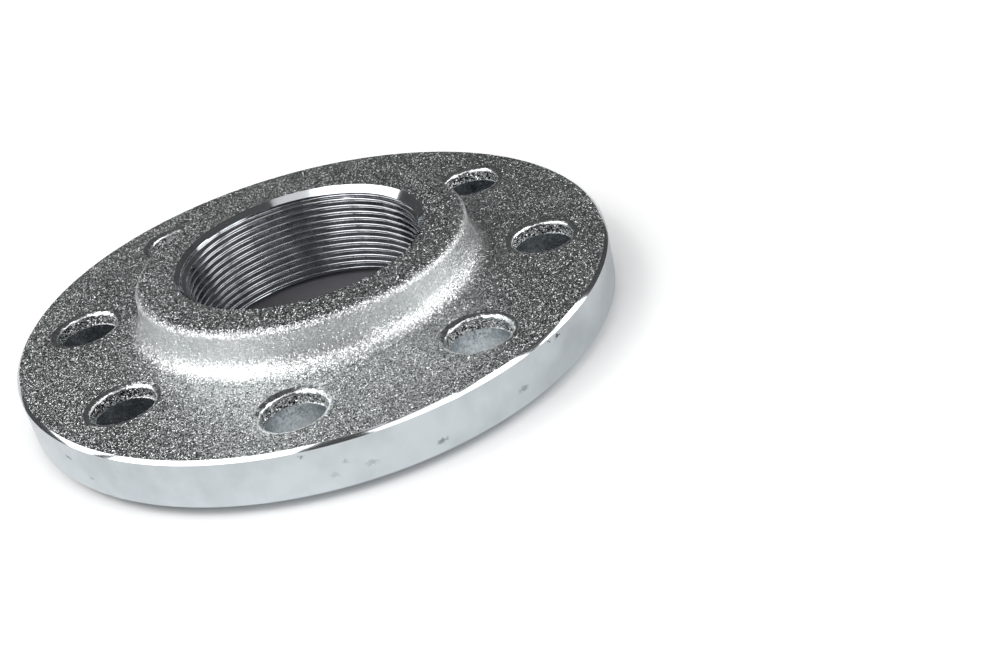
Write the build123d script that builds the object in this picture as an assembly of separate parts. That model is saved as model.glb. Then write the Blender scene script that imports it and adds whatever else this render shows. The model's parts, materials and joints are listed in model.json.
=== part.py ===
from build123d import *
import os
from math import radians, tan

# A threaded flange of forged steel, in one piece: a round plate with a ring of bolt holes, a low hub on
# its upper side and a raised sealing face below. Millimetres. The origin is the centre of the sealing
# face, +Z runs up the bore towards the hub. The bore is plain at the thread's minor diameter.

# Plate
flange_diameter = 185.0
flange_thickness = 18.0  # from the sealing face to the plate's upper face
raised_face_diameter = 122.0
raised_face_height = 3.0
rim_chamfer = 1.0  # turned on the rim's upper edge
edge_break = 0.4  # on the lower edges of the rim and of the raised face

# Hub
overall_height = 32.0
hub_foot_diameter = 104.0
hub_draft = 1.5  # degrees, so that the forging leaves its die
hub_rounding = 2.5
root_fillet = 7.0

# Bore
thread_minor_diameter = 72.226
bore_mouth_diameter = 78.0  # a lead-in cone of 45 degrees at each end

# Bolt holes, punched hot from above
bolt_circle_diameter = 145.0
bolt_hole_count = 8
bolt_hole_diameter = 18.0
hole_mouth_chamfer = 1.4  # where the skin is drawn down into the hole


def at(section, corner):
    """The vertex of a flat section that lies at the corner."""
    return section.vertices().sort_by_distance(Vector(*corner))[0]


def turned_body():
    """The plate, hub and raised face as one half section, turned about the bore's axis."""
    rim = flange_diameter / 2
    raised_face = raised_face_diameter / 2
    hub_foot = hub_foot_diameter / 2
    hub_top = hub_foot - (overall_height - flange_thickness) * tan(radians(hub_draft))
    bore = thread_minor_diameter / 2
    mouth = bore_mouth_diameter / 2
    cone = mouth - bore

    outline = Polyline(
        (bore, cone),
        (mouth, 0),
        (raised_face, 0),
        (raised_face, raised_face_height),
        (rim, raised_face_height),
        (rim, flange_thickness),
        (hub_foot, flange_thickness),
        (hub_top, overall_height),
        (mouth, overall_height),
        (bore, overall_height - cone),
        close=True,
    )
    section = make_face(outline)
    section = fillet(at(section, (hub_foot, flange_thickness)), root_fillet)
    section = fillet(at(section, (hub_top, overall_height)), hub_rounding)
    section = chamfer(at(section, (rim, flange_thickness)), rim_chamfer)
    section = chamfer(at(section, (rim, raised_face_height)), edge_break)
    section = chamfer(at(section, (raised_face, 0)), edge_break)
    return revolve(Plane.XZ * section, Axis.Z)


def bolt_hole():
    """The space of one bolt hole about its own axis, flared where it opens on the plate's upper face."""
    wall = bolt_hole_diameter / 2
    mouth = wall + hole_mouth_chamfer
    half_section = Polyline(
        (0, 0),
        (wall, 0),
        (wall, flange_thickness - hole_mouth_chamfer),
        (mouth, flange_thickness),
        (mouth, overall_height),
        (0, overall_height),
        close=True,
    )
    return revolve(Plane.XZ * make_face(half_section), Axis.Z)


# One hole stands half a step beside each of the flange's main axes, as pipework is bolted up
first_hole_angle = 180 / bolt_hole_count
holes = PolarLocations(bolt_circle_diameter / 2, bolt_hole_count, first_hole_angle)
flange = turned_body() - [place * bolt_hole() for place in holes]
flange.label = "flange"

os.makedirs("parts", exist_ok=True)
export_step(flange, "parts/flange.step")
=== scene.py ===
import json
import math

import bpy
import numpy as np
from mathutils import Matrix, Vector


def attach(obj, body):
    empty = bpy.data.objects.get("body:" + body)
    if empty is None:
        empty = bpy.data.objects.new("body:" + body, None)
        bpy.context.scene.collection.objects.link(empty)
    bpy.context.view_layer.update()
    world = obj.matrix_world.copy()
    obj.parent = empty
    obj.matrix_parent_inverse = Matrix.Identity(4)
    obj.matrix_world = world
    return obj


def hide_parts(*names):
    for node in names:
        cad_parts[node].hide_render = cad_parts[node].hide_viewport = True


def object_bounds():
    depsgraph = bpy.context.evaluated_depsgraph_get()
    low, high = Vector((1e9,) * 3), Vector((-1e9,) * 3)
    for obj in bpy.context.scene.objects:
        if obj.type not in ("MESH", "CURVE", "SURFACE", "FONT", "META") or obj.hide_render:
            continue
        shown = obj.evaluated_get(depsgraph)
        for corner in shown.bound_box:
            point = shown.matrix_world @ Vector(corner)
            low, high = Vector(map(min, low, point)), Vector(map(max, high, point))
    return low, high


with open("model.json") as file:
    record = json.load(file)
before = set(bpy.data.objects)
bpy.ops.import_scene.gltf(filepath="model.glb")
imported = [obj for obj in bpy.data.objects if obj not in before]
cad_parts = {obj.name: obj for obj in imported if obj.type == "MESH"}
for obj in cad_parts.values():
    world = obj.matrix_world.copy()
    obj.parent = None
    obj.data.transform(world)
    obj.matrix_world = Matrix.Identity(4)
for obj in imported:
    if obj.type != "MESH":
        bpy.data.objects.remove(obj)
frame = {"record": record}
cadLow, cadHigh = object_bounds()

mm = 0.001  # shapes are worked out in millimetres and become metres when a mesh is made
mounts = {m["name"]: m for m in frame["record"]["mounts"]}

# Camera: where it stands, the point its axis meets on the ground, how far it is rolled
camera = {
    "place": (-78.85, -410.9, 221.21),
    "aim": (42.02, -41.93, 0.0),
    "roll": 13.436,  # degrees, clockwise
    "lens": 53.75,
}


def makeCamera():
    place, aim = Vector(camera["place"]) * mm, Vector(camera["aim"]) * mm
    data = bpy.data.cameras.new("camera")
    data.lens, data.sensor_width = camera["lens"], 36.0
    data.clip_start, data.clip_end = 0.01, 50.0
    eye = bpy.data.objects.new("camera", data)
    bpy.context.scene.collection.objects.link(eye)
    level = (aim - place).to_track_quat("-Z", "Y").to_matrix()
    rolled = level @ Matrix.Rotation(-math.radians(camera["roll"]), 3, "Z")
    eye.matrix_world = Matrix.Translation(place) @ rolled.to_4x4()
    bpy.context.scene.camera = eye


makeCamera()
print("camera placed")

# The flange. The main sizes are the frame's, the rest are what forging, punching and turning leave
flange = {
    "rim": cadHigh.x / mm,  # radius
    "height": cadHigh.z / mm,
    "face": 18.0,  # height of the plate's upper face
    "raisedFace": 61.0,  # radius
    "raisedHeight": mounts["bolts"]["pos_m"][2] / mm,
    "rimChamfer": 1.0,
    "chamferSwell": 0.018,  # of the chamfer's width, because its turning left it a little round
    "edgeBreak": 0.4,
    "hubFoot": 52.0,  # radius
    "hubDraft": 1.5,  # degrees
    "hubRounding": 2.5,
    "rootFillet": 7.0,
    "boreMouth": 39.0,  # radius
    "boltCircle": mounts["bolts"]["dims"]["pcd_mm"] / 2,
    "boltCount": mounts["bolts"]["dims"]["count"],
    "holeRadius": mounts["bolts"]["dims"]["hole_r_mm"],
    "punchedRadius": 9.35,  # above the ledge
    "punchedDepth": 4.0,
    "mouthReach": 1.9,  # how far the skin is drawn down round a hole, outwards and in depth
    "mouthDrop": 1.35,
    "holeBreak": 0.3,  # at the hole's lower edge
}
thread = {
    "minor": mounts["pipe_thread"]["dims"]["r_mm"],
    "pitch": 25.4 / 11,
    "flankAngle": 27.5,  # degrees, half of the angle between two flanks
    "rounding": 0.137329 * 25.4 / 11,  # radius of crests and roots
}
meshSteps = {
    "arc": 32,  # along one bolt hole's share of a circle
    "side": 20,  # between two holes, from the fillet out to the rim
    "face": 14,  # from that share's border in to the hole
}
skin = {
    "seed": 7,
    "swell": 0.07,  # height of the forging's slow waves
    "swellLength": (9.0, 26.0),
    "dimple": 0.035,  # height of its short ones
    "dimpleLength": (2.6, 5.0),
    "torn": 0.07,  # roughness of the punched walls
    "tornLength": (1.0, 2.2),
    "rootSlope": 0.35,  # the face climbs this much towards the fillet
    "rootReach": 4.5,
}


# The order of the finishes on the mesh
(forgedSkin, turnedRim, threadCut, facedSeal, turnedBack,
 drawnMouth, punchedWall, shearedWall, turnedCone) = range(9)


def turnedGrid(profile, angles):
    # x = r cos a, y = r sin a, z = z for each point (r, z) of the profile and each angle a
    r, z = np.asarray(profile, float).T[:, :, None]
    return np.stack([r * np.cos(angles), r * np.sin(angles), z + 0 * angles], -1)


def arc(centre, radius, start, stop, count):
    # points at centre + radius (cos t, sin t), with t running evenly from start to stop degrees
    t = np.radians(np.linspace(start, stop, count))
    return np.stack([centre[0] + radius * np.cos(t), centre[1] + radius * np.sin(t)], -1)


def line(start, stop, count):
    # points evenly spaced from start to stop
    return np.asarray(start) + np.linspace(0, 1, count)[:, None] * (np.asarray(stop, float) - start)


def bow(start, stop, swell, count):
    # a shallow arc from start to stop that stands out to its right by swell times its length
    along = np.linspace(0, 1, count)
    way = np.asarray(stop, float) - start
    side = np.array([-way[1], way[0]]) * -4 * swell
    return line(start, stop, count) + (along * (1 - along))[:, None] * side


def hubProfile():
    # from the plate's face through the root fillet, up the drafted side, over the rounding, in to the bore
    draft = math.radians(flange["hubDraft"])
    rise = flange["height"] - flange["face"]
    reach = math.tan(math.pi / 4 - draft / 2)  # from a corner to where its arc begins, in radii
    root, over = flange["rootFillet"], flange["hubRounding"]
    rootCentre = (flange["hubFoot"] + root * reach, flange["face"] + root)
    top = flange["hubFoot"] - rise * math.tan(draft)
    overCentre = (top - over * reach, flange["height"] - over)
    lower = arc(rootCentre, root, 270, 180 + flange["hubDraft"], 13)
    upper = arc(overCentre, over, flange["hubDraft"], 90, 9)
    return np.vstack([
        lower,
        line(lower[-1], upper[0], 8)[1:-1],
        upper,
        line(upper[-1], (flange["boreMouth"], flange["height"]), 9)[1:],
    ])


def rimProfile():
    # from the underside up the turned rim and over its chamfer to the plate's face
    rim, low, cut, edge = flange["rim"], flange["raisedHeight"], flange["rimChamfer"], flange["edgeBreak"]
    return np.vstack([
        line((rim - edge, low), (rim, low + edge), 3),
        line((rim, low + edge), (rim, flange["face"] - cut), 9)[1:],
        bow((rim, flange["face"] - cut), (rim - cut, flange["face"]), flange["chamferSwell"], 5)[1:],
    ])


def sealProfile():
    # from the bore's lower mouth out over the raised face and up its edge to the underside
    outer, low, edge = flange["raisedFace"], flange["raisedHeight"], flange["edgeBreak"]
    return np.vstack([
        line((flange["boreMouth"], 0), (outer - edge, 0), 8),
        line((outer - edge, 0), (outer, edge), 3)[1:],
        line((outer, edge), (outer, low), 3)[1:],
    ])


def holeProfile():
    # one bolt hole's wall as (radius, z): round mouth, punched stretch, ledge, lower wall, broken edge
    wide, narrow = flange["punchedRadius"], flange["holeRadius"]
    reach, drop = flange["mouthReach"], flange["mouthDrop"]
    ledge, low, edge = flange["face"] - flange["punchedDepth"], flange["raisedHeight"], flange["holeBreak"]
    flare = (wide + reach, flange["face"] - drop) + arc((0, 0), 1, 90, 180, 9) * (reach, drop)
    return np.vstack([
        flare,
        line(flare[-1], (wide, ledge), 6)[1:],
        line((wide, ledge), (narrow, ledge - 0.15), 3)[1:],
        line((narrow, ledge - 0.15), (narrow, low + edge), 7)[1:],
        line((narrow, low + edge), (narrow + edge, low), 3)[1:],
    ])


def share(inner, outer):
    # the border of one bolt hole's share of the plate, as (radius, angle from the hole), run anticlockwise
    half = math.pi / flange["boltCount"]
    out = line((outer, -half), (outer, half), meshSteps["arc"] + 1)
    back = line((outer, half), (inner, half), meshSteps["side"] + 1)
    home = line((inner, half), (inner, -half), meshSteps["arc"] + 1)
    last = line((inner, -half), (outer, -half), meshSteps["side"] + 1)
    return np.vstack([out, back[1:], home[1:], last[1:]])


def spokes(inner, outer, radius, steps):
    # (1 - t) hole's edge + t border, for each place round the hole and each t from 0 to 1, closer at the hole
    border = share(inner, outer)
    x = border[:, 0] * np.cos(border[:, 1]) - flange["boltCircle"]
    y = border[:, 0] * np.sin(border[:, 1])
    around = np.arctan2(y, x)
    t = np.linspace(0, 1, steps + 1)[:, None] ** 1.35
    return (1 - t) * radius * np.cos(around) + t * x, (1 - t) * radius * np.sin(around) + t * y, around


def holeGrid(number, faceInner, faceOuter, underInner, underOuter):
    # one hole's share of the plate as one grid: its rows run from the border of the share in over the face
    # to the hole, down the wall and out over the underside
    wall = holeProfile()
    xf, yf, above = spokes(faceInner, faceOuter, wall[0, 0], meshSteps["face"])
    xu, yu, below = spokes(underInner, underOuter, wall[-1, 0], 5)
    shift = np.unwrap(below) - np.unwrap(above)
    along = np.unwrap(above) + np.linspace(0, 1, len(wall))[:, None] * shift
    x = np.vstack([xf[::-1], (wall[:, :1] * np.cos(along))[1:-1], xu]) + flange["boltCircle"]
    y = np.vstack([yf[::-1], (wall[:, :1] * np.sin(along))[1:-1], yu])
    z = np.concatenate([np.full(len(xf), flange["face"]), wall[1:-1, 1], np.full(len(xu), flange["raisedHeight"])])
    turn = (number + 0.5) * 2 * math.pi / flange["boltCount"]
    turnedX = x * math.cos(turn) - y * math.sin(turn)
    turnedY = x * math.sin(turn) + y * math.cos(turn)
    return np.stack([turnedX, turnedY, z[:, None] + 0 * x], -1)


def threadGrid(angles):
    # The bore. A row follows the helix z = row + pitch a / 2 pi, held between the two ends, and the radius is
    # the thread's or the lead-in cone's, whichever is wider. Across one pitch the thread is an arc over the
    # crest, a straight flank, an arc in the root, and the same back
    pitch, flank, rounding = thread["pitch"], math.radians(thread["flankAngle"]), thread["rounding"]
    bend = rounding * math.cos(flank)  # half an arc's width along the bore
    places = np.array([-bend, -bend / 2, 0, bend / 2, bend]) / pitch
    oneTurn = np.concatenate([places, places + 0.5])
    turns = np.arange(-1, math.ceil(flange["height"] / pitch) + 1)
    rows = np.sort((turns[:, None] + oneTurn).ravel()) * pitch
    z = rows[:, None] + pitch * angles / (2 * math.pi)
    away = np.abs((rows[:, None] / pitch + 0.5) % 1 - 0.5) * pitch  # from the nearest crest's middle
    dip = rounding - np.sqrt(rounding**2 - np.clip(away, 0, bend) ** 2)
    rise = (np.clip(away, bend, pitch / 2 - bend) - bend) / math.tan(flank)
    far = np.clip(pitch / 2 - away, 0, bend)
    swell = (rounding - np.sqrt(rounding**2 - bend**2)) - (rounding - np.sqrt(rounding**2 - far**2))
    radius = thread["minor"] + dip + rise + swell + 0 * z
    z = np.clip(z, 0, flange["height"])
    radius = np.maximum(radius, coneRadius(z))[::-1]
    return np.stack([radius * np.cos(angles), radius * np.sin(angles), z[::-1]], -1)


def coneRadius(z):
    # the lead-in cones at 45 degrees: mouth radius less the distance from the nearer end
    return flange["boreMouth"] - np.minimum(z, flange["height"] - z)


def threadNormals(points):
    # (-1, slope) in radius and z, where slope is how fast the thread's radius grows along the bore
    pitch, flank, rounding = thread["pitch"], math.radians(thread["flankAngle"]), thread["rounding"]
    bend = rounding * math.cos(flank)
    angle = np.arctan2(points[:, 1], points[:, 0])
    place = ((points[:, 2] / pitch - angle / (2 * math.pi) + 0.5) % 1 - 0.5) * pitch
    away, far = np.abs(place), pitch / 2 - np.abs(place)
    nearer = np.clip(np.minimum(away, far), 0, bend)
    slope = np.sign(place) * nearer / np.sqrt(rounding**2 - nearer**2)
    normals = np.stack([-np.cos(angle), -np.sin(angle), slope], -1)
    return normals / np.linalg.norm(normals, axis=1)[:, None]


def waves(points, lengths, seed, count=36):
    # smooth noise between about -1 and 1: the mean of many sine waves of mixed direction, length and phase
    rng = np.random.default_rng(seed)
    way = rng.normal(size=(count, 3))
    way /= np.linalg.norm(way, axis=1)[:, None]
    number = 2 * math.pi / rng.uniform(*lengths, count)
    phase = rng.uniform(0, 2 * math.pi, count)
    return np.sin(points @ (way * number[:, None]).T + phase).sum(1) / math.sqrt(count)


def weld(grids, finishes):
    # every grid's cells as triangles on shared corners, without those that have shrunk to a line
    points = np.vstack([g.reshape(-1, 3) for g in grids])
    cells, finish, first = [], [], 0
    for g, f in zip(grids, finishes):
        at = first + np.arange(g.shape[0] * g.shape[1]).reshape(g.shape[:2])
        a, b, c, d = at[:-1, :-1], at[:-1, 1:], at[1:, 1:], at[1:, :-1]
        cells.append(np.stack([a, b, c, a, c, d], -1).reshape(-1, 3))
        finish.append(np.repeat(np.broadcast_to(f, (g.shape[0] - 1,)), 2 * (g.shape[1] - 1)))
        first += g.shape[0] * g.shape[1]
    keys = np.round(points * 2000 + 0.37).astype(np.int64)
    _, keep, where = np.unique(keys, axis=0, return_index=True, return_inverse=True)
    corners, finish = where.ravel()[np.vstack(cells)], np.concatenate(finish)
    a, b, c = corners.T
    whole = (a != b) & (b != c) & (c != a)
    return points[keep], corners[whole], finish[whole]


def vertexNormals(points, corners):
    # the normals of the faces at each corner, added up and brought to length 1
    p, q, r = (points[corners[:, i]] for i in range(3))
    across = np.cross(q - p, r - p)
    total = np.zeros_like(points)
    for i in range(3):
        np.add.at(total, corners[:, i], across)
    return total / np.maximum(np.linalg.norm(total, axis=1), 1e-12)[:, None]


def forge(points, corners, forged, torn):
    # moves each forged point along its normal by slow and short waves, and each punched one by rough ones
    normals = vertexNormals(points, corners)
    slow = waves(points, skin["swellLength"], skin["seed"]) * skin["swell"]
    short = waves(points, skin["dimpleLength"], skin["seed"] + 1) * skin["dimple"]
    rough = waves(points, skin["tornLength"], skin["seed"] + 2) * skin["torn"]
    moved = points + normals * ((slow + short) * forged + rough * torn)[:, None]
    r = np.hypot(points[:, 0], points[:, 1])
    near = np.abs(points[:, 2] - flange["face"]) < 1e-6
    foot = flange["hubFoot"] + flange["rootFillet"]
    moved[:, 2] += near * skin["rootSlope"] * np.exp(-np.clip(r - foot, 0, None) / skin["rootReach"]) * forged
    return moved


def smooth(low, high, x):
    # 0 below low, 1 above high, and a smooth step between
    t = np.clip((x - low) / (high - low), 0, 1)
    return t * t * (3 - 2 * t)


def zones(points):
    # how much of each point is forged skin, and how much is torn wall of a punched hole
    r, z = np.hypot(points[:, 0], points[:, 1]), points[:, 2]
    step = 2 * math.pi / flange["boltCount"]
    turn = (np.arctan2(points[:, 1], points[:, 0]) % step) - step / 2
    away = np.hypot(r * np.cos(turn) - flange["boltCircle"], r * np.sin(turn))
    ledge = flange["face"] - flange["punchedDepth"]
    above = smooth(ledge, ledge + 0.6, z)
    inside = 1 - smooth(flange["punchedRadius"] + 0.3, flange["punchedRadius"] + flange["mouthReach"], away)
    turned = smooth(flange["rim"] - 2.5, flange["rim"] - 1.2, r)
    mouth = 1 - smooth(flange["boreMouth"] + 0.2, flange["boreMouth"] + 2.0, r)
    return above * (1 - turned) * (1 - mouth), above * inside


def makeFlange():
    # joins all the surfaces into one closed mesh
    count = flange["boltCount"] * meshSteps["arc"]
    angles = 2 * math.pi * np.arange(count + 1) / count
    hub, rim, seal, wall = hubProfile(), rimProfile(), sealProfile(), holeProfile()
    grids = [turnedGrid(rim, angles), turnedGrid(hub, angles), threadGrid(angles), turnedGrid(seal, angles)]
    onRim = np.where(rim[1:, 1] > flange["face"] - flange["rimChamfer"] + 0.01, turnedCone, turnedRim)
    finishes = [onRim, forgedSkin, threadCut, facedSeal]
    ledge = flange["face"] - flange["punchedDepth"]
    for number in range(flange["boltCount"]):
        grids.append(holeGrid(number, hub[0, 0], rim[-1, 0], seal[-1, 0], rim[0, 0]))
        z = (wall[:-1, 1] + wall[1:, 1]) / 2
        inWall = np.select([z > flange["face"] - flange["mouthDrop"], z > ledge, z > ledge - 0.2],
                           [drawnMouth, punchedWall, drawnMouth], shearedWall)
        under = np.full(grids[-1].shape[0] - 1 - meshSteps["face"] - len(inWall), turnedBack)
        finishes.append(np.concatenate([np.full(meshSteps["face"], forgedSkin), inWall, under]))
    points, corners, finish = weld(grids, finishes)
    middle = points[corners].mean(1)
    onCone = np.abs(np.hypot(middle[:, 0], middle[:, 1]) - coneRadius(middle[:, 2])) < 0.02
    finish[(finish == threadCut) & onCone] = turnedCone
    forged, torn = zones(points)
    points = forge(points, corners, forged, torn)
    mesh = bpy.data.meshes.new("flangeSkin")
    mesh.from_pydata((points * mm).tolist(), [], corners.tolist())
    mesh.polygons.foreach_set("material_index", finish.astype(np.int32))
    mesh.polygons.foreach_set("use_smooth", np.ones(len(corners), bool))
    mesh.set_sharp_from_angle(angle=math.radians(32))
    # the thread's flanks are shaded flat and its roundings round; a normal of 0 leaves a corner as it was
    cone = np.abs(np.hypot(points[:, 0], points[:, 1]) - coneRadius(points[:, 2])) < 0.002
    own = np.where(cone[:, None], 0.0, threadNormals(points))[corners] * (finish == threadCut)[:, None, None]
    mesh.normals_split_custom_set(own.reshape(-1, 3).tolist())
    mesh.update()
    piece = bpy.data.objects.new("flangeSkin", mesh)
    bpy.context.scene.collection.objects.link(piece)
    return piece


def linear(code):
    # a colour written as sRGB hex, as linear red, green, blue and 1
    parts = [int(code[i:i + 2], 16) / 255 for i in (1, 3, 5)]
    return tuple(c / 12.92 if c <= 0.04045 else ((c + 0.055) / 1.055) ** 2.4 for c in parts) + (1.0,)


def add(tree, kind, settings=None, links=None):
    # adds a node, gives it its settings, and links or sets its inputs
    node = tree.nodes.new(kind)
    for name, value in (settings or {}).items():
        setattr(node, name, value)
    for name, value in (links or {}).items():
        socket = node.inputs[name]
        if isinstance(value, bpy.types.NodeSocket):
            tree.links.new(value, socket)
        else:
            socket.default_value = value
    return node


def newMaterial(name):
    material = bpy.data.materials.new(name)
    material.use_nodes = True
    material.node_tree.nodes.clear()
    return material, material.node_tree


def ramp(tree, value, stops):
    # a colour ramp through (position, colour) stops
    node = add(tree, "ShaderNodeValToRGB", links={"Fac": value})
    elements = node.color_ramp.elements
    while len(elements) > len(stops):
        elements.remove(elements[-1])
    while len(elements) < len(stops):
        elements.new(1.0)
    for element, (position, colour) in zip(elements, stops):
        element.position = position
        element.color = linear(colour) if isinstance(colour, str) else (colour, colour, colour, 1.0)
    return node.outputs["Color"]


def mix(tree, share, first, second):
    # first where share is 0, second where it is 1
    node = add(tree, "ShaderNodeMix", {"data_type": "RGBA"}, {"Factor": share, "A": first, "B": second})
    return node.outputs["Result"]


def spread(tree, value, low, high, fromLow=0.0, fromHigh=1.0):
    # maps a value onto the range from low to high
    node = add(tree, "ShaderNodeMapRange", links={
        "Value": value, "From Min": fromLow, "From Max": fromHigh, "To Min": low, "To Max": high})
    return node.outputs["Result"]


def noise(tree, place, size, detail=2.0):
    # smooth noise whose bumps are about the given size across, in millimetres
    return add(tree, "ShaderNodeTexNoise", links={
        "Vector": place, "Scale": 1 / (2 * size * mm), "Detail": detail, "Roughness": 0.6}).outputs["Fac"]


def bump(tree, height, depth, normal=None):
    # a relief of the given depth in millimetres, laid over another one
    links = {"Height": height, "Strength": 1.0, "Distance": depth * mm}
    if normal:
        links["Normal"] = normal
    return add(tree, "ShaderNodeBump", links=links).outputs["Normal"]


def facets(tree, cells, lean, normal):
    # every grain leans its own way: normal + lean (grain's random colour - 1/2), brought to length 1
    lean = (lean,) * 3 if isinstance(lean, float) else lean
    offset = add(tree, "ShaderNodeVectorMath", {"operation": "SUBTRACT"}, {0: cells, 1: (0.5, 0.5, 0.5)})
    leant = add(tree, "ShaderNodeVectorMath", {"operation": "MULTIPLY_ADD"}, {
        0: offset.outputs[0], 1: lean, 2: normal})
    return add(tree, "ShaderNodeVectorMath", {"operation": "NORMALIZE"}, {0: leant.outputs[0]}).outputs[0]


def finishShader(tree, colour, roughness, normal):
    shader = add(tree, "ShaderNodeBsdfPrincipled", links={
        "Base Color": colour, "Metallic": 1.0, "Roughness": roughness, "Normal": normal})
    add(tree, "ShaderNodeOutputMaterial", links={"Surface": shader.outputs["BSDF"]})


forgedZinc = {
    "grain": 0.25,  # mm, the pits that shot blasting leaves under the zinc
    "lean": 1.05,  # how far their sides tilt
    "steepLean": 3.0,  # and those of the few steep ones
    "steepShare": 0.18,
    "side": (18.05, 19.5, 30.5, 31.8),  # mm, heights between which the die left the hub's side smoother and its colour is painted paler, as painted light
    # how far the hub's side is painted paler: painted light on the die's smoother skin
    "sidePale": 0.75,
    "sideLean": 0.5,
    "sideRough": 0.01,
    "grit": 1.4,  # mm
    "patch": 14.0,  # mm
    "dark": "#0e0e0e",
    "middle": "#ccd0d0",
    "pale": "#fafdfd",
    "roughness": (0.3, 0.36),
    "gritHeight": 0.05,  # mm
}


def makeForgedZinc():
    # Hot-forged steel, shot blasted and zinc plated: every pit is a small mirror, so the skin sparkles
    material, tree = newMaterial("forgedZinc")
    f = forgedZinc
    place = add(tree, "ShaderNodeTexCoord").outputs["Object"]
    cells = add(tree, "ShaderNodeTexVoronoi", links={"Vector": place, "Scale": 1 / (f["grain"] * mm)})
    chance = add(tree, "ShaderNodeTexWhiteNoise", links={"Vector": cells.outputs["Color"]}).outputs["Value"]
    height = add(tree, "ShaderNodeSeparateXYZ", links={0: place}).outputs["Z"]
    begin, full, last, end = (h * mm for h in f["side"])
    rising = spread(tree, height, 0.0, 1.0, begin, full)
    falling = spread(tree, height, 1.0, 0.0, last, end)
    side = add(tree, "ShaderNodeMath", {"operation": "MINIMUM"}, {0: rising, 1: falling}).outputs[0]
    # the hub's side: smoother skin from the die, with painted light making its colour paler
    colour = mix(tree, spread(tree, side, 0.0, f["sidePale"]),
                 ramp(tree, chance, [(0.15, f["dark"]), (0.4, f["middle"]), (0.8, f["pale"])]), linear(f["pale"]))
    steep = 1 - f["steepShare"]
    pitted = spread(tree, chance, f["lean"], f["steepLean"], steep - 0.01, steep + 0.01)
    flatter = spread(tree, side, 1.0, f["sideLean"])
    lean = add(tree, "ShaderNodeMath", {"operation": "MULTIPLY"}, {0: pitted, 1: flatter}).outputs[0]
    base = spread(tree, noise(tree, place, f["patch"]), *f["roughness"], 0.3, 0.7)
    roughness = add(tree, "ShaderNodeMath", {"operation": "MULTIPLY_ADD"}, {0: side, 1: f["sideRough"], 2: base})
    coarse = bump(tree, noise(tree, place, f["grit"], 3.0), f["gritHeight"])
    finishShader(tree, colour, roughness.outputs[0], facets(tree, cells.outputs["Color"], lean, coarse))
    return material


punchedZinc = {
    "tear": 0.3,  # mm
    "lean": 2.0,
    "dark": "#1c1e20",
    "pale": "#fcfefe",
    "tearHeight": 0.12,  # mm
}


def makePunchedZinc():
    # Steel torn by a hot punch, then zinc plated: broken ridges, white and black beside each other
    material, tree = newMaterial("punchedZinc")
    p = punchedZinc
    place = add(tree, "ShaderNodeTexCoord").outputs["Object"]
    cells = add(tree, "ShaderNodeTexVoronoi", links={"Vector": place, "Scale": 1 / (p["tear"] * mm)})
    chance = add(tree, "ShaderNodeTexWhiteNoise", links={"Vector": cells.outputs["Color"]}).outputs["Value"]
    tear = noise(tree, place, p["tear"] * 1.5, 3.0)
    colour = ramp(tree, chance, [(0.35, p["dark"]), (0.75, p["pale"])])
    normal = bump(tree, tear, p["tearHeight"])
    finishShader(tree, colour, 0.34, facets(tree, cells.outputs["Color"], p["lean"], normal))
    return material


shearedZinc = {"grain": 0.35, "lean": 0.35, "streak": 1.2, "streakHeight": 0.02, "dark": "#b6bcbf", "pale": "#ccd4d8"}


def makeShearedZinc():
    # The lower wall, pushed smooth by the punch and then zinc plated: an even blue grey
    material, tree = newMaterial("shearedZinc")
    s = shearedZinc
    place = add(tree, "ShaderNodeTexCoord").outputs["Object"]
    cells = add(tree, "ShaderNodeTexVoronoi", links={"Vector": place, "Scale": 1 / (s["grain"] * mm)})
    streak = noise(tree, place, s["streak"], 3.0)
    colour = ramp(tree, streak, [(0.35, s["dark"]), (0.65, s["pale"])])
    normal = bump(tree, streak, s["streakHeight"])
    finishShader(tree, colour, 0.32, facets(tree, cells.outputs["Color"], s["lean"], normal))
    return material


drawnZinc = {"grain": 0.3, "lean": 0.2, "dark": "#c8ccce", "pale": "#f6fafa"}


def makeDrawnZinc():
    # The skin round a hole's mouth, drawn down smooth by the punch: it shines along the far side
    material, tree = newMaterial("drawnZinc")
    d = drawnZinc
    place = add(tree, "ShaderNodeTexCoord").outputs["Object"]
    cells = add(tree, "ShaderNodeTexVoronoi", links={"Vector": place, "Scale": 1 / (d["grain"] * mm)})
    wear = noise(tree, place, 0.8, 3.0)
    colour = ramp(tree, wear, [(0.35, d["dark"]), (0.6, d["pale"])])
    finishShader(tree, colour, 0.22, facets(tree, cells.outputs["Color"], d["lean"], bump(tree, wear, 0.01)))
    return material


turnedZinc = {
    "smudge": "#cfd6da",
    "clean": "#dde4e8",
    "feed": 0.55,  # mm between tool marks, twice the real one, so that they show
    "feedHeight": 0.03,
    "roughness": (0.12, 0.2),
    # where the tool chattered: angle on the rim in degrees, height and reach in mm, and strength
    "chatter": ((303.0, 12.0, 9.0, 1.0), (295.0, 6.0, 8.0, 0.8)),
    "chatterShade": 0.3,
    # knocks and stains: angle on the rim in degrees, height and half length in mm, and how dark
    "knocks": ((201.8, 12.2, 2.0, 0.6), (207.2, 7.8, 1.5, 0.4), (215.5, 12.8, 0.6, 0.6), (249.5, 15.6, 1.2, 0.7),
               (256.0, 11.2, 1.3, 0.3), (260.0, 8.5, 2.2, 0.3), (253.8, 8.0, 1.6, 0.25), (272.0, 6.8, 2.0, 0.6),
               (289.0, 8.5, 2.6, 0.45), (299.2, 15.7, 1.5, 1.0), (296.8, 16.0, 0.9, 0.9), (312.0, 12.8, 0.6, 0.5)),
    "knockFlat": 2.2,  # how many times longer than high
    "knockColour": "#4c5054",
}


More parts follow.
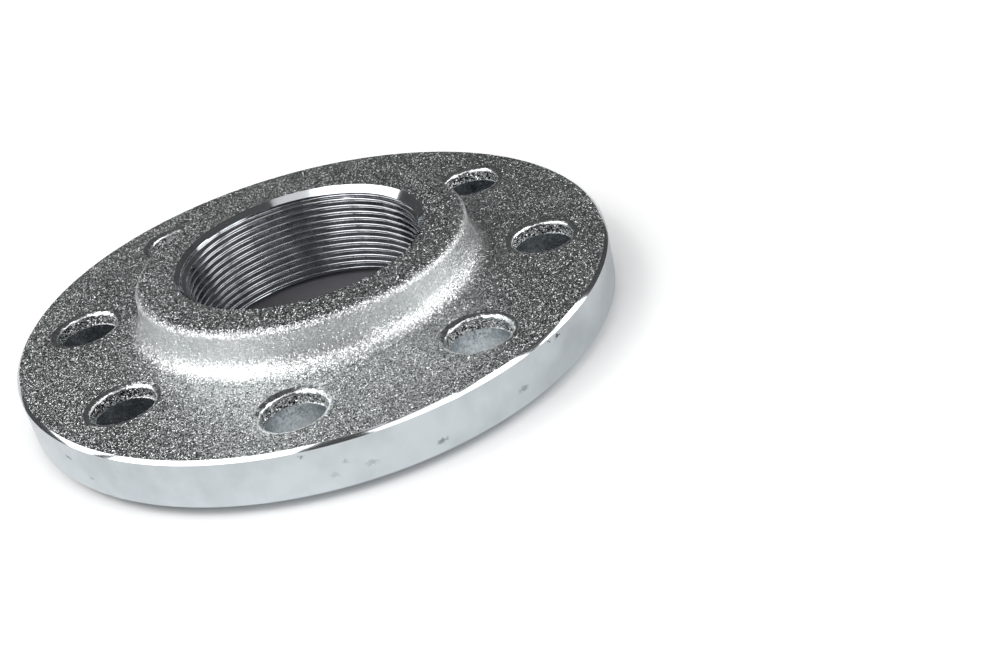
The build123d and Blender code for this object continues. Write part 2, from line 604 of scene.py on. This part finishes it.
def near(tree, place, spots, soft, flat=1.0):
    # at each spot on the rim its strength, falling to 0 at its reach, with heights stretched flat times
    total = None
    tall = add(tree, "ShaderNodeVectorMath", {"operation": "MULTIPLY"}, {0: place, 1: (1.0, 1.0, flat)}).outputs[0]
    for angle, height, reach, strength in spots:
        turn = math.radians(angle)
        spot = Vector((flange["rim"] * math.cos(turn), flange["rim"] * math.sin(turn), height * flat)) * mm
        away = add(tree, "ShaderNodeVectorMath", {"operation": "DISTANCE"}, {0: tall, 1: spot}).outputs["Value"]
        share = spread(tree, away, strength, 0.0, soft * reach * mm, reach * mm)
        if total:
            share = add(tree, "ShaderNodeMath", {"operation": "MAXIMUM"}, {0: total, 1: share}).outputs[0]
        total = share
    return total


def makeTurnedZinc():
    # Turned steel, zinc plated: bright and smooth, with fine rings where the tool chattered, and a few knocks
    material, tree = newMaterial("turnedZinc")
    t = turnedZinc
    place = add(tree, "ShaderNodeTexCoord").outputs["Object"]
    rings = add(tree, "ShaderNodeTexWave", {"wave_type": "BANDS", "bands_direction": "Z"}, {
        "Vector": place, "Scale": 2 * math.pi / (20 * t["feed"] * mm), "Distortion": 0.0}).outputs["Fac"]
    chatter = spread(tree, near(tree, place, t["chatter"], 0.2), 0.06, 1.0)
    rings = add(tree, "ShaderNodeMath", {"operation": "MULTIPLY"}, {0: rings, 1: chatter}).outputs[0]
    crumbs = add(tree, "ShaderNodeTexNoise", links={"Vector": place, "Scale": 1 / (0.8 * mm), "Detail": 4.0})
    offset = add(tree, "ShaderNodeVectorMath", {"operation": "MULTIPLY_ADD"}, {
        0: crumbs.outputs["Color"], 1: (3 * mm,) * 3, 2: (-1.5 * mm,) * 3}).outputs[0]
    ragged = add(tree, "ShaderNodeVectorMath", {"operation": "ADD"}, {0: place, 1: offset}).outputs[0]
    knocked = near(tree, ragged, t["knocks"], 0.3, t["knockFlat"])
    patch = noise(tree, place, 7.0, 3.0)
    clean = ramp(tree, patch, [(0.35, t["smudge"]), (0.6, t["clean"])])
    ringed = mix(tree, spread(tree, rings, 0.0, t["chatterShade"]), clean, linear(t["knockColour"]))
    colour = mix(tree, knocked, ringed, linear(t["knockColour"]))
    roughness = spread(tree, patch, *t["roughness"], 0.3, 0.7)
    finishShader(tree, colour, roughness, bump(tree, rings, t["feedHeight"]))
    return material


coneZinc = {"colour": "#dfe3e6", "roughness": 0.1}


def makeConeZinc():
    # The lead-in cones, cut in one pass with a keen tool and zinc plated: almost a mirror
    material, tree = newMaterial("coneZinc")
    place = add(tree, "ShaderNodeTexCoord").outputs["Object"]
    finishShader(tree, linear(coneZinc["colour"]), coneZinc["roughness"], bump(tree, noise(tree, place, 3.0), 0.02))
    return material


cutThread = {"dark": "#cfd2d5", "pale": "#e8ebee", "roughness": (0.06, 0.12)}


def makeCutThread():
    # Thread cut by a tap in steel and then zinc plated: its roundings mirror in thin bright lines
    material, tree = newMaterial("cutThread")
    place = add(tree, "ShaderNodeTexCoord").outputs["Object"]
    patch = noise(tree, place, 3.0, 4.0)
    colour = ramp(tree, patch, [(0.35, cutThread["dark"]), (0.65, cutThread["pale"])])
    finishShader(tree, colour, spread(tree, patch, *cutThread["roughness"], 0.3, 0.7), bump(tree, patch, 0.01))
    return material


facedZinc = {"colour": "#d3d7d9", "feed": 0.8, "feedHeight": 0.03, "roughness": (0.22, 0.36)}


def makeFacedZinc():
    # Faced steel, zinc plated: the fine rings that a gasket grips
    material, tree = newMaterial("facedZinc")
    f = facedZinc
    place = add(tree, "ShaderNodeTexCoord").outputs["Object"]
    rings = add(tree, "ShaderNodeTexWave", {"wave_type": "RINGS", "rings_direction": "Z"}, {
        "Vector": place, "Scale": 2 * math.pi / (20 * f["feed"] * mm), "Distortion": 0.0}).outputs["Fac"]
    patch = noise(tree, place, 7.0, 3.0)
    roughness = spread(tree, patch, *f["roughness"], 0.3, 0.7)
    finishShader(tree, linear(f["colour"]), roughness, bump(tree, rings, f["feedHeight"]))
    return material


piece = makeFlange()
turned = makeTurnedZinc()
finishes = {
    forgedSkin: makeForgedZinc(),
    turnedRim: turned,
    threadCut: makeCutThread(),
    facedSeal: makeFacedZinc(),
    turnedBack: turned,
    drawnMouth: makeDrawnZinc(),
    punchedWall: makePunchedZinc(),
    shearedWall: makeShearedZinc(),
    turnedCone: makeConeZinc(),
}
for number in sorted(finishes):
    piece.data.materials.append(finishes[number])
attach(piece, "root")
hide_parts("flange")
print("flange made:", len(piece.data.polygons), "triangles")

studio = {
    "floorSize": 6.0,  # metres
    "floorColour": "#f6f6f6",
    "shadeColour": "#767579",  # painted shade: the paper's colour under the bore, standing in for the flange's deep shade
    "shadeEdge": (0.084, 0.091),  # metres from the bore's middle where that ends, short of the rim
    "floorLift": 0.34,  # glow that only the camera sees, which takes the floor to white
    "farLift": (0.12, 0.3),  # metres from the flange where the glow grows to full white
    "shadeReach": 0.02,  # metres, how far the floor looks for what stands over it, for its painted contact shade
    "sky": 0.08,
    "bandHeight": (0.1, 1.25),  # metres, foot and head of the dark ring
    "bandRadius": 1.75,
    "bandShade": 0.15,
    "boxWidth": 0.66,  # metres
    "boxReach": 1.4,  # metres, from the flange to each softbox
    # each softbox: degrees from the flange's front, 90 at its right, its foot and head above the floor, its glow
    "boxes": ((-125, 17, 66, 2.2), (-91, 8, 65, 2.3), (-57, 12, 66, 2.1), (-23, 61, 72, 0.7), (16, 38, 58, 1.7),
              (47, 8, 52, 2.3), (79, 3, 34, 2.9)),
    # light let in under the lifted right side in the photograph: only metal sees it, under two holes
    "underGlow": 0.85,
    "underWay": (0.15, -1.0, 0.0),  # which side
    "underEdge": (0.04, 0.075),  # metres out that way where it begins and is full
    "underRim": 0.09,
}


def quad(name, corners, material, hidden=False):
    mesh = bpy.data.meshes.new(name)
    mesh.from_pydata(corners, [], [(0, 1, 2, 3)])
    mesh.materials.append(material)
    sheet = bpy.data.objects.new(name, mesh)
    bpy.context.scene.collection.objects.link(sheet)
    sheet.visible_camera = not hidden
    return sheet


def makeFloor():
    # white paper with painted shade under the bore; a glow that only the camera sees takes it to pure white, less
    # where something stands close over it, which paints a contact shade; a painted glow that only metal sees lies
    # under the front right
    material, tree = newMaterial("paperSweep")
    s = studio
    place = add(tree, "ShaderNodeTexCoord").outputs["Object"]
    distance = add(tree, "ShaderNodeVectorMath", {"operation": "LENGTH"}, {0: place}).outputs["Value"]
    # painted shade: within shadeEdge of the bore's middle the paper is darker and has no glow
    outside = spread(tree, distance, 0.0, 1.0, *s["shadeEdge"])
    far = add(tree, "ShaderNodeMapRange", {"interpolation_type": "SMOOTHSTEP"}, {
        "Value": distance, "From Min": s["farLift"][0], "From Max": s["farLift"][1],
        "To Min": s["floorLift"], "To Max": 1.0}).outputs["Result"]
    # painted contact shade: the camera's glow fades where something stands close over the paper
    above = add(tree, "ShaderNodeAmbientOcclusion", {"samples": 8}, {"Distance": s["shadeReach"]})
    free = spread(tree, above.outputs["AO"], 0.0, 1.0, 0.3, 0.9)
    ray = add(tree, "ShaderNodeLightPath")
    # painted glow: the paper under the flange's front right shines for reflections only
    toSide = add(tree, "ShaderNodeVectorMath", {"operation": "DOT_PRODUCT"}, {0: place, 1: s["underWay"]})
    under = spread(tree, toSide.outputs["Value"], 0.0, s["underGlow"], *s["underEdge"])
    within = spread(tree, distance, 1.0, 0.0, s["underRim"] - 0.002, s["underRim"])
    lift, leak = far, under
    for share in (free, outside, ray.outputs["Is Camera Ray"]):
        lift = add(tree, "ShaderNodeMath", {"operation": "MULTIPLY"}, {0: lift, 1: share}).outputs[0]
    for share in (within, ray.outputs["Is Glossy Ray"]):
        leak = add(tree, "ShaderNodeMath", {"operation": "MULTIPLY"}, {0: leak, 1: share}).outputs[0]
    lift = add(tree, "ShaderNodeMath", {"operation": "ADD"}, {0: lift, 1: leak}).outputs[0]
    # the painted shade's colour inside, the plain paper's outside
    paperColour = ramp(tree, outside, [(0.0, s["shadeColour"]), (1.0, s["floorColour"])])
    paper = add(tree, "ShaderNodeBsdfDiffuse", links={"Color": paperColour})
    glow = add(tree, "ShaderNodeEmission", links={"Color": (1, 1, 1, 1), "Strength": lift})
    both = add(tree, "ShaderNodeAddShader", links={0: paper.outputs[0], 1: glow.outputs[0]})
    add(tree, "ShaderNodeOutputMaterial", links={"Surface": both.outputs[0]})
    h = s["floorSize"] / 2
    quad("floor", [(-h, -h, 0), (h, -h, 0), (h, h, 0), (-h, h, 0)], material)


def makeBand():
    # a ring of dark cloth round the set, out of the camera's sight, that gives the metal its dark reflections
    material, tree = newMaterial("darkCloth")
    cloth = add(tree, "ShaderNodeBsdfDiffuse", links={"Color": (studio["bandShade"],) * 3 + (1.0,)})
    add(tree, "ShaderNodeOutputMaterial", links={"Surface": cloth.outputs[0]})
    angles = np.linspace(0, 2 * math.pi, 65)
    profile = [(studio["bandRadius"], height) for height in studio["bandHeight"]]
    points = turnedGrid(profile, angles)
    at = np.arange(2 * 65).reshape(2, 65)
    cells = np.stack([at[:-1, :-1], at[:-1, 1:], at[1:, 1:], at[1:, :-1]], -1).reshape(-1, 4)
    mesh = bpy.data.meshes.new("darkRing")
    mesh.from_pydata(points.reshape(-1, 3).tolist(), [], cells.tolist())
    mesh.materials.append(material)
    ring = bpy.data.objects.new("darkRing", mesh)
    bpy.context.scene.collection.objects.link(ring)
    ring.visible_camera = False


def makeLights():
    s = studio
    world = bpy.data.worlds.new("studio")
    bpy.context.scene.world = world
    world.use_nodes = True
    tree = world.node_tree
    tree.nodes.clear()
    path = add(tree, "ShaderNodeLightPath")
    strength = spread(tree, path.outputs["Is Camera Ray"], s["sky"], 1.0)
    sky = add(tree, "ShaderNodeBackground", links={"Color": (1, 1, 1, 1), "Strength": strength})
    add(tree, "ShaderNodeOutputWorld", links={"Surface": sky.outputs[0]})
    for number, (turn, foot, head, boxGlow) in enumerate(s["boxes"]):
        data = bpy.data.lights.new(f"softbox{number + 1}", "AREA")
        data.shape, data.size = "RECTANGLE", s["boxWidth"]
        data.size_y = 2 * s["boxReach"] * math.tan(math.radians(head - foot) / 2)
        data.energy = boxGlow * math.pi * data.size * data.size_y  # a lamp's glow is power / (pi area)
        lamp = bpy.data.objects.new(data.name, data)
        bpy.context.scene.collection.objects.link(lamp)
        turn, rise = math.radians(turn), math.radians(foot + head) / 2
        way = Vector((math.sin(turn) * math.cos(rise), -math.cos(turn) * math.cos(rise), math.sin(rise)))
        lamp.location = way * s["boxReach"]
        lamp.rotation_euler = (-way).to_track_quat("-Z", "Y").to_euler()


makeFloor()
makeBand()
makeLights()
bpy.context.scene.view_settings.view_transform = "Standard"
print("studio lit")
